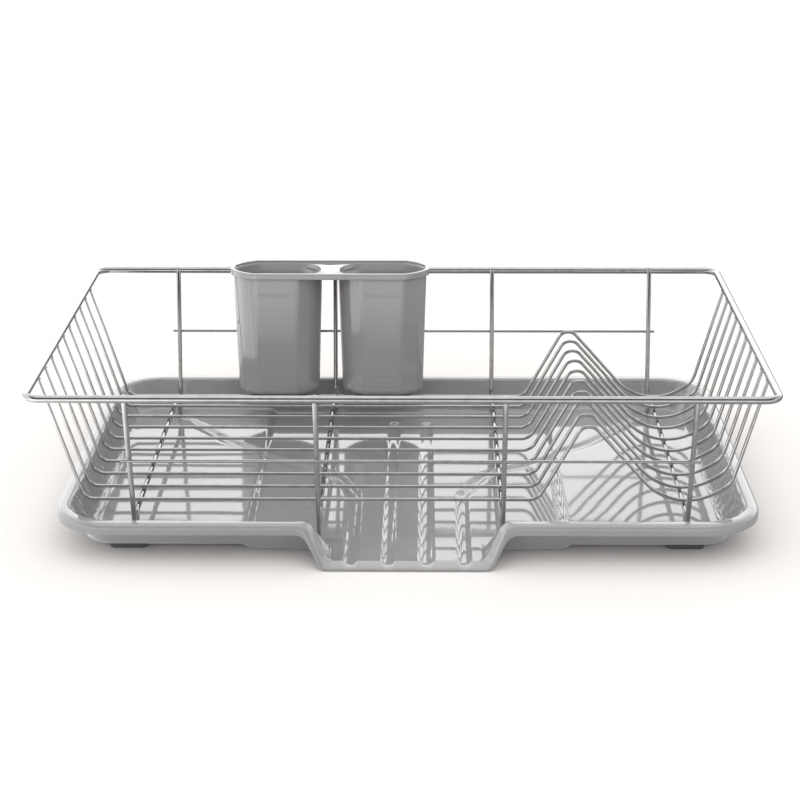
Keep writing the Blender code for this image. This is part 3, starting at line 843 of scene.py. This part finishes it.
# ---------------------------------------------------------------- utensil holder
CORNER_FLATTENING = 0.60            # 0 is a round corner, 1 a straight chamfer
MOUTH_FLATTENING = 0.15             # and at the opening's corners next to the bridge
RIM_WALL = 2.9 * MM
BRIDGE_DROP = 1.7 * MM              # the bridge between the cups lies under the rim's crest
MOUTH_HALF = (32.15 * MM, 19.95 * MM)           # half of a cup's opening, and its middle
MOUTH_MIDDLE_X = -39.55 * MM
MOUTH_EDGE = 0.4 * MM               # rounding of its edge
MOUTH_FLARE = 12 * MM               # height over which the cup's wall opens out to it
REAR_LIFT = 2.4 * MM                # rise of the rim's crest from front to rear
LIFT_FADE = 14 * MM
MOUTH_STEPS = 8
EDGE_STEPS = 4
CUP_CUTS = 14                       # mesh steps of a corner, and of a side
SIDE_CUTS = 10
BRIDGE_CORNER = 10 * MM             # part of the bridge's edge that faces a cup's corner


def corner_arc(centre, radius, start, flattening=CORNER_FLATTENING):
    """A quarter turn from `start` half turns, flattened towards the chamfer between its ends."""
    points = []
    for k in range(CUP_CUTS + 1):
        turn = 0.5 * pi * k / CUP_CUTS
        chamfer = cos(pi / 4) / cos(turn - pi / 4)
        reach = radius * (1 + (chamfer - 1) * flattening)
        around = start * pi + turn
        points.append((centre[0] + reach * cos(around), centre[1] + reach * sin(around)))
    return points


def cup_ring(grow, z, mouth=0.0, edge=0.0):
    """A cup's section at height z under the plate's top; grow is measured from its outside. A mouth
    of 1 is the outline of the opening, and edge is how far it lies outside of that."""
    share = min(1.0, max(0.0, -z / CUP_DEPTH))
    half = [top + (bottom - top) * share + grow for top, bottom in zip(CUP_TOP, CUP_BOTTOM)]
    radius = CUP_CORNER + grow
    middle = (-CUP_SPACING, HOLDER_DEPTH / 2 + CUP_SHIFT)
    if mouth:
        half = [a + (b - a) * mouth + edge for a, b in zip(half, MOUTH_HALF)]
        radius += 1.2 * MM * mouth + edge
        opening = (MOUTH_MIDDLE_X, HOLDER_DEPTH / 2)
        middle = [a + (b - a) * mouth for a, b in zip(middle, opening)]
    corners = ((1, -1, -0.5), (1, 1, 0.0), (-1, 1, 0.5), (-1, -1, 1.0))
    arcs = []
    for sx, sy, start in corners:
        centre = (middle[0] + sx * (half[0] - radius), middle[1] + sy * (half[1] - radius))
        eased = mouth * (MOUTH_FLATTENING - CORNER_FLATTENING) if sx > 0 else 0.0
        arcs.append(corner_arc(centre, radius, start, CORNER_FLATTENING + eased))
    return [Vector((x, y, z)) for x, y in join_arcs(arcs)]


def join_arcs(arcs):
    """Arcs joined by straight sides with evenly spaced points."""
    points = []
    for i, arc in enumerate(arcs):
        points += arc
        (ax, ay), (bx, by) = arc[-1], arcs[(i + 1) % len(arcs)][0]
        for k in range(1, SIDE_CUTS):
            share = k / SIDE_CUTS
            points.append((ax + (bx - ax) * share, ay + (by - ay) * share))
    return points


def plate_ring(inset, z):
    """Outline of the left half of the rim plate, matched point by point to cup_ring."""
    left, front, back = -HOLDER_HALF + inset, inset, HOLDER_DEPTH - inset
    radius = HOLDER_CORNER - inset
    half = CUP_CUTS // 2
    reach = BRIDGE_CORNER

    def square(y, direction):
        along = [(-reach * (1 - k / half), y) for k in range(half)]
        up = [(0.0, y + direction * reach * k / half) for k in range(half + 1)]
        return along + up

    arcs = [square(front, 1), square(back, -1)[::-1],
            corner_arc((left + radius, back - radius), radius, 0.5),
            corner_arc((left + radius, front + radius), radius, 1.0)]
    return [Vector((x, y, z)) for x, y in join_arcs(arcs)]


def make_holder(look):
    """Two cups under one rim plate with a turned-down band: the left half, mirrored."""
    mesh = bmesh.new()

    def put(points):
        return [mesh.verts.new(point) for point in points]

    inner = soften((
        (-9.0 * MM, CUP_WALL - CUP_DEPTH, 0), (-CUP_WALL, CUP_WALL - CUP_DEPTH, 4.0 * MM),
        (-CUP_WALL, -BRIDGE_DROP - MOUTH_FLARE, 0.0),
    ), 6)
    rim = soften((
        (RIM_WALL + 0.4 * MM, -BRIDGE_DROP, 0), (RIM_WALL, -BRIDGE_DROP, 0.4 * MM),
        (RIM_WALL, 0.0, 0.6 * MM), (0.0, 0.0, 0.6 * MM), (0.0, -BAND_HEIGHT, 0.6 * MM),
        (RIM_WALL - 0.1 * MM, -BAND_HEIGHT, 0.6 * MM), (RIM_WALL, -UNDER_PLATE, 0),
    ), 6)
    outer = soften((
        (0.0, -UNDER_PLATE, 0), (0.0, -CUP_DEPTH, 4.5 * MM), (-9.0 * MM, -CUP_DEPTH, 0),
    ), 8)
    floor_in = [scaled(cup_ring(*inner[0]), share) for share in (0.25, 0.6)]
    rows = [put(points) for points in floor_in]
    rows += [put(cup_ring(grow, z)) for grow, z in split_rows(inner, 12)]
    for k in range(1, MOUTH_STEPS + 1):
        share = k / MOUTH_STEPS
        z = -BRIDGE_DROP - MOUTH_EDGE - MOUTH_FLARE * (1 - share)
        rows.append(put(cup_ring(-CUP_WALL, z, share ** 2)))
    for k in range(1, EDGE_STEPS + 1):
        turn = 0.5 * pi * k / EDGE_STEPS
        z = -BRIDGE_DROP - MOUTH_EDGE * (1 - sin(turn))
        rows.append(put(cup_ring(-CUP_WALL, z, 1.0, MOUTH_EDGE * (1 - cos(turn)))))
    rows.append(put(plate_ring(*rim[0])))
    for first, second in zip(rows, rows[1:]):
        strip(mesh, first, second)
    mesh.faces.new(rows[0][::-1])

    turn_front = CUP_CUTS // 2                      # the outline's points on the middle line
    turn_back = CUP_CUTS + SIDE_CUTS + CUP_CUTS // 2
    count = len(rows[-1])
    outline = [i % count for i in range(turn_back, count + turn_front + 1)]
    last = [rows[-1][i] for i in outline]
    for inset, z in rim[1:-1]:
        points = plate_ring(inset, z)
        row = put([points[i] for i in outline])
        strip(mesh, last, row, closed=False)
        last = row
    under = put(plate_ring(*rim[-1]))
    strip(mesh, last, [under[i] for i in outline], closed=False)
    previous = under
    for grow, z in split_rows(outer, 12):
        row = put(cup_ring(grow, z))
        strip(mesh, previous, row)
        previous = row
    for share in (0.6, 0.25):
        row = put(scaled(cup_ring(*outer[-1]), share))
        strip(mesh, previous, row)
        previous = row
    mesh.faces.new(previous)
    bmesh.ops.recalc_face_normals(mesh, faces=mesh.faces)
    copied = bmesh.ops.duplicate(mesh, geom=mesh.verts[:] + mesh.edges[:] + mesh.faces[:])["geom"]
    for part in copied:
        if isinstance(part, bmesh.types.BMVert):
            part.co.x = -part.co.x
    fresh = [part for part in copied if isinstance(part, bmesh.types.BMFace)]
    bmesh.ops.reverse_faces(mesh, faces=fresh)
    bmesh.ops.remove_doubles(mesh, verts=mesh.verts, dist=0.01 * MM)
    place_holder(mesh)
    made = mesh_object("utensil_holder_shell", mesh, look)
    made.data.set_sharp_from_angle(angle=radians(55))
    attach(made, "holder")
    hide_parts("utensil_holder")


def scaled(points, share):
    middle = sum(points, Vector()) / len(points)
    return [middle + (point - middle) * share for point in points]


def split_rows(section, count):
    """Adds evenly spaced rows in the section's longest straight stretch."""
    lengths = [np.linalg.norm(b - a) for a, b in zip(section, section[1:])]
    return split_stretch(section, int(np.argmax(lengths)), count)


def split_stretch(section, first, count):
    """Adds evenly spaced rows between row `first` and the next one."""
    start, end = section[first], section[first + 1]
    between = [start + (end - start) * k / count for k in range(1, count)]
    return list(section[:first + 1]) + between + list(section[first + 1:])


def place_holder(mesh):
    """Raises the rim towards the rear, leans the holder back about its top front edge and moves it
    to its place."""
    for vert in mesh.verts:
        fade = max(0.0, 1 + vert.co.z / LIFT_FADE)
        vert.co.z += REAR_LIFT * fade * vert.co.y / HOLDER_DEPTH
    tilt = Matrix.Rotation(-HOLDER_TILT, 4, "X")
    place = Matrix.Translation((HOLDER_X, HOLDER_FRONT_Y, HOLDER_HIGH.z)) @ tilt
    bmesh.ops.transform(mesh, matrix=place, verts=mesh.verts)


def make_hook(look):
    """The ridge behind the plate that drops over the rear rim wire."""
    inner = RIM_WIRE + GAP
    outer = inner + CUP_WALL
    section = soften((
        (inner, HOOK_DROP, 0), (outer, HOOK_DROP, 0.5 * MM), (outer, HOOK_TOP, 2.4 * MM),
        (-outer, HOOK_TOP, 0.3 * MM), (-outer, inner, 0.4 * MM), (inner, inner, 2.6 * MM),
        (inner, HOOK_DROP, 0),
    ), 5)[:-1]
    rim_y = RACK_Y + RIM_HALF_Y
    middle = (inner, HOOK_TOP - CUP_WALL)
    mesh = bmesh.new()
    rows = []
    ends = ((0.0, 0.84), (0.25, 0.93), (0.9, 1.0))
    stations = [(-HOOK_HALF + out * MM, size) for out, size in ends]
    stations += [(HOOK_HALF - out * MM, size) for out, size in reversed(ends)]
    for x, size in stations:
        rows.append([mesh.verts.new((HOLDER_X + x, rim_y + middle[0] + (y - middle[0]) * size,
                                     RIM_Z + middle[1] + (z - middle[1]) * size)) for y, z in section])
    for first, second in zip(rows, rows[1:]):
        strip(mesh, first, second)
    mesh.faces.new(rows[0])
    mesh.faces.new(rows[-1][::-1])
    bmesh.ops.recalc_face_normals(mesh, faces=mesh.faces)
    made = mesh_object("utensil_holder_hook", mesh, look)
    made.data.set_sharp_from_angle(angle=SHARP_EDGE)
    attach(made, "holder")


# ---------------------------------------------------------------- studio
CAMERA_PLACE = (0.0162, -1.3059, 0.5271)
CAMERA_DOWN = radians(19.80)
CAMERA_YAW = radians(0.57)
CAMERA_ROLL = radians(-0.08)
CAMERA_LENS = 87.6
CAMERA_SHIFT = (-0.011, 0.00775)

FLOOR_HALF = 6.0                    # half of the table's side, in metres
FLOOR_COLOUR = (0.715, 0.692, 0.677, 1)
FLOOR_FADE = 0.7                    # reach of the two ramps below, either way from the middle
# Levels of the floor's painted reflection, across and along the table: each stop is (place,
# brightness).
REFLECTION_GLOW_ACROSS = ((0.0, 0.85), (0.20, 0.82), (0.31, 0.34), (0.42, 0.0), (1.0, 0.0))
REFLECTION_GLOW_ALONG = ((0.0, 0.86), (0.12, 0.82), (0.20, 0.60), (0.30, 0.30), (0.45, 0.24),
               (0.72, 0.30), (0.80, 0.10))
PAINTED_REFLECTION_GLOW = 1.75                   # strength of the floor's painted reflection, a glow that only the rack's reflections see
# Each is (front, left, right, back, strength); each band is (sine of the height, brightness).
LIGHTING = (
    ((0.0, 0.30), (0.45, 0.70), (0.9, 0.54)),
    ((0.0, 0.75), (0.5, 0.95), (0.9, 0.54)),
    ((0.0, 0.26), (0.5, 0.32), (0.9, 0.50)),
    ((0.0, 0.48), (0.5, 0.66), (0.95, 0.54)),
    2.6,
)
MIRRORED = (
    ((0.0, 0.28), (0.30, 0.34), (0.42, 0.05), (0.78, 0.05), (0.92, 0.60)),
    ((0.0, 0.30), (0.16, 0.40), (0.32, 0.85), (0.55, 0.80), (0.75, 0.45), (0.92, 0.60)),
    ((0.0, 0.26), (0.16, 0.34), (0.30, 0.62), (0.50, 0.30), (0.75, 0.14), (0.92, 0.60)),
    ((0.0, 0.34), (0.10, 0.48), (0.16, 0.66), (0.20, 1.0), (0.42, 0.85), (0.55, 0.60), (0.80, 0.55),
     (0.95, 0.60)),
    2.15,
)
REAR_SPAN = (-0.15, 0.45)           # directions over which the back takes over from the front
SIDE_SPAN = (0.62, 0.90)            # and a side from both


def make_camera():
    data = bpy.data.cameras.new("camera")
    data.lens = CAMERA_LENS
    data.sensor_width = 36
    data.shift_x, data.shift_y = CAMERA_SHIFT
    made = bpy.data.objects.new("camera", data)
    turn = Matrix.Rotation(CAMERA_YAW, 4, "Z") @ Matrix.Rotation(pi / 2 - CAMERA_DOWN, 4, "X")
    made.matrix_world = Matrix.Translation(CAMERA_PLACE) @ turn @ Matrix.Rotation(CAMERA_ROLL, 4, "Z")
    bpy.context.scene.collection.objects.link(made)
    bpy.context.scene.camera = made


def make_floor():
    """A plain white table, wide enough for every view. In the steel and plastic it shows as a painted
    reflection: a glow, bright at the left and grey elsewhere, in place of the lit floor."""
    mesh = bmesh.new()
    bmesh.ops.create_grid(mesh, x_segments=8, y_segments=8, size=FLOOR_HALF)
    look, tree, shader = new_material("studio_floor")
    shader.inputs["Base Color"].default_value = FLOOR_COLOUR
    shader.inputs["Roughness"].default_value = 0.9
    shader.inputs["Specular IOR Level"].default_value = 0.1
    place = tree.nodes.new("ShaderNodeTexCoord")
    parts = tree.nodes.new("ShaderNodeSeparateXYZ")
    tree.links.new(place.outputs["Object"], parts.inputs[0])
    levels = []
    for axis, stops in (("X", REFLECTION_GLOW_ACROSS), ("Y", REFLECTION_GLOW_ALONG)):
        share = map_range(tree, parts.outputs[axis], -FLOOR_FADE, FLOOR_FADE)
        levels.append(grey_ramp(tree, share, stops))
    level = tree.nodes.new("ShaderNodeVectorMath")
    level.operation = "ADD"
    for source, target in zip(levels, level.inputs):
        tree.links.new(source, target)
    # Painted reflection: glossy rays see the floor glow with these levels instead of its lit colour.
    mirrored = tree.nodes.new("ShaderNodeEmission")
    mirrored.inputs["Strength"].default_value = PAINTED_REFLECTION_GLOW
    tree.links.new(level.outputs[0], mirrored.inputs["Color"])
    rays = tree.nodes.new("ShaderNodeLightPath")
    pick = mix_shaders(tree, rays.outputs["Is Glossy Ray"], shader.outputs[0], mirrored.outputs[0])
    tree.links.new(pick, tree.nodes["Material Output"].inputs["Surface"])
    mesh_object("studio_floor", mesh, look)


def grey_ramp(tree, source, stops):
    return ramp(tree, source, [(place, (level, level, level)) for place, level in stops])


def mix_shaders(tree, share, first, second):
    made = tree.nodes.new("ShaderNodeMixShader")
    for source, target in zip((share, first, second), made.inputs):
        tree.links.new(source, target)
    return made.outputs[0]


def mix_colours(tree, share, first, second):
    made = tree.nodes.new("ShaderNodeMix")
    made.data_type = "RGBA"
    tree.links.new(share, made.inputs[0])
    tree.links.new(first, made.inputs[6])
    tree.links.new(second, made.inputs[7])
    return made.outputs[2]


def surround(tree, parts, front, left, right, back, strength):
    """A room seen from the rack: brightness by height in front, at each side and behind."""
    height = parts.outputs["Z"]
    depth = map_range(tree, parts.outputs["Y"], *REAR_SPAN, kind="SMOOTHSTEP")
    room = mix_colours(tree, depth, grey_ramp(tree, height, front), grey_ramp(tree, height, back))
    for side, levels in ((-1, left), (1, right)):
        breadth = tree.nodes.new("ShaderNodeMath")
        breadth.operation = "MULTIPLY"
        breadth.inputs[1].default_value = side
        tree.links.new(parts.outputs["X"], breadth.inputs[0])
        near = map_range(tree, breadth.outputs[0], *SIDE_SPAN, kind="SMOOTHSTEP")
        room = mix_colours(tree, near, room, grey_ramp(tree, height, levels))
    made = tree.nodes.new("ShaderNodeBackground")
    made.inputs["Strength"].default_value = strength
    tree.links.new(room, made.inputs["Color"])
    return made.outputs[0]


def make_world():
    """White to the camera. What lights the rack is soft; what it mirrors has dark and bright bands."""
    world = bpy.data.worlds.new("studio")
    world.use_nodes = True
    tree = world.node_tree
    tree.nodes.clear()
    direction = tree.nodes.new("ShaderNodeTexCoord")
    parts = tree.nodes.new("ShaderNodeSeparateXYZ")
    tree.links.new(direction.outputs["Generated"], parts.inputs[0])
    lighting = surround(tree, parts, *LIGHTING)
    mirrored = surround(tree, parts, *MIRRORED)
    seen = tree.nodes.new("ShaderNodeBackground")
    seen.inputs["Color"].default_value = (1, 1, 1, 1)
    seen.inputs["Strength"].default_value = 1.2
    rays = tree.nodes.new("ShaderNodeLightPath")
    out = tree.nodes.new("ShaderNodeOutputWorld")
    unseen = mix_shaders(tree, rays.outputs["Is Glossy Ray"], lighting, mirrored)
    surface = mix_shaders(tree, rays.outputs["Is Camera Ray"], unseen, seen.outputs[0])
    tree.links.new(surface, out.inputs["Surface"])
    bpy.context.scene.world = world


def make_studio():
    make_camera()
    make_floor()
    make_world()
    bpy.context.scene.view_settings.view_transform = "Standard"


# ---------------------------------------------------------------- assembly
make_studio()
rim_steel = steel_look("rim_steel_wire", (0.52, 0.515, 0.51), 0.05, 0.04)
wire_steel = steel_look("thin_steel_wire", (0.49, 0.485, 0.478), 0.06, 0.05)
tray_plastic = plastic_look("grey_tray_plastic", (0.256, 0.254, 0.258), 0.08, 1.0)
holder_plastic = plastic_look("grey_holder_plastic", (0.246, 0.239, 0.242), 0.08, 1.0)
make_basket(rim_steel, wire_steel)
make_welds(wire_steel)
make_tray(tray_plastic)
make_pads(rubber_look())
make_holder(holder_plastic)
make_hook(holder_plastic)
